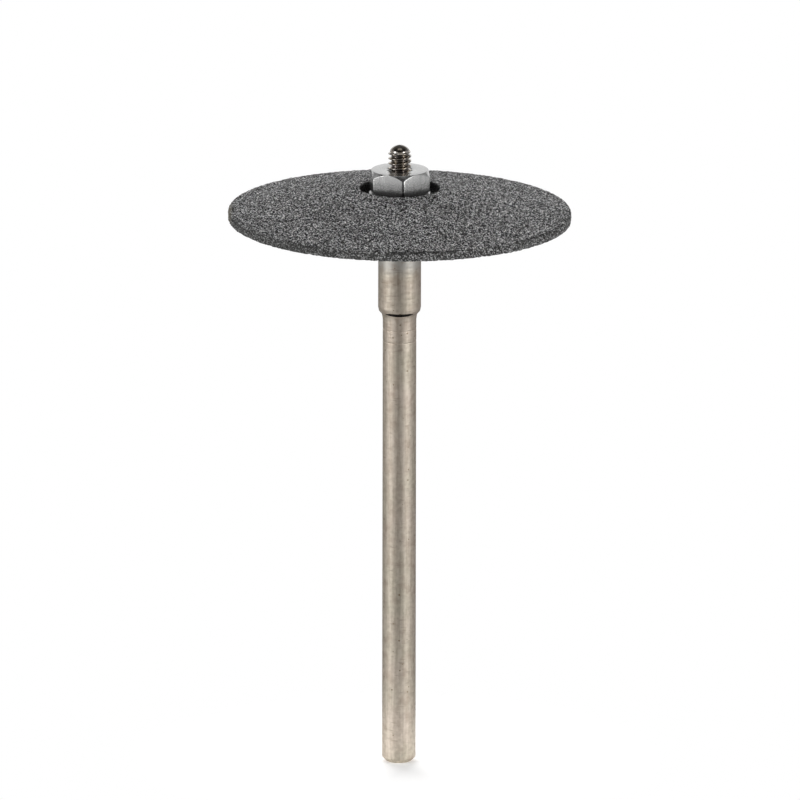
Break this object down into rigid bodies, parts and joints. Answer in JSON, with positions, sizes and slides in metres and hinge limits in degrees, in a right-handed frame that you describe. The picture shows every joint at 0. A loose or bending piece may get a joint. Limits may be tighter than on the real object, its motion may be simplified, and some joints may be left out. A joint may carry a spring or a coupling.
{
  "type": "mounted cutting disc",
  "caption": "Thin dished abrasive cutting disc clamped by a nut on a slim mandrel, for slitting and separating in a small rotary handpiece.",
  "frame": {"origin": "centre of the shank's flat free end, on the axis", "axes": "+Z along the mandrel's axis, from the shank towards the disc and the stud's tip; one corner of the nut is turned 6 degrees from -Y"},
  "size_m": [0.024, 0.024, 0.0445],
  "materials": {
    "abrasive": "coarse dark grey silicon carbide grain in resin, matt with sparkling facets",
    "satin_nickel": "warm grey satin nickel with faint turning marks",
    "dark_steel": "dark, glossy blackened steel",
    "bright_nickel": "bright plated, fine lengthwise brush marks on the flats"
  },
  "bodies": {
    "root": {"cutting_disc": "abrasive", "mandrel": "satin_nickel", "threaded_stud": "dark_steel", "hex_nut": "bright_nickel", "nut_washer": "bright_nickel"}
  },
  "joints": []
}
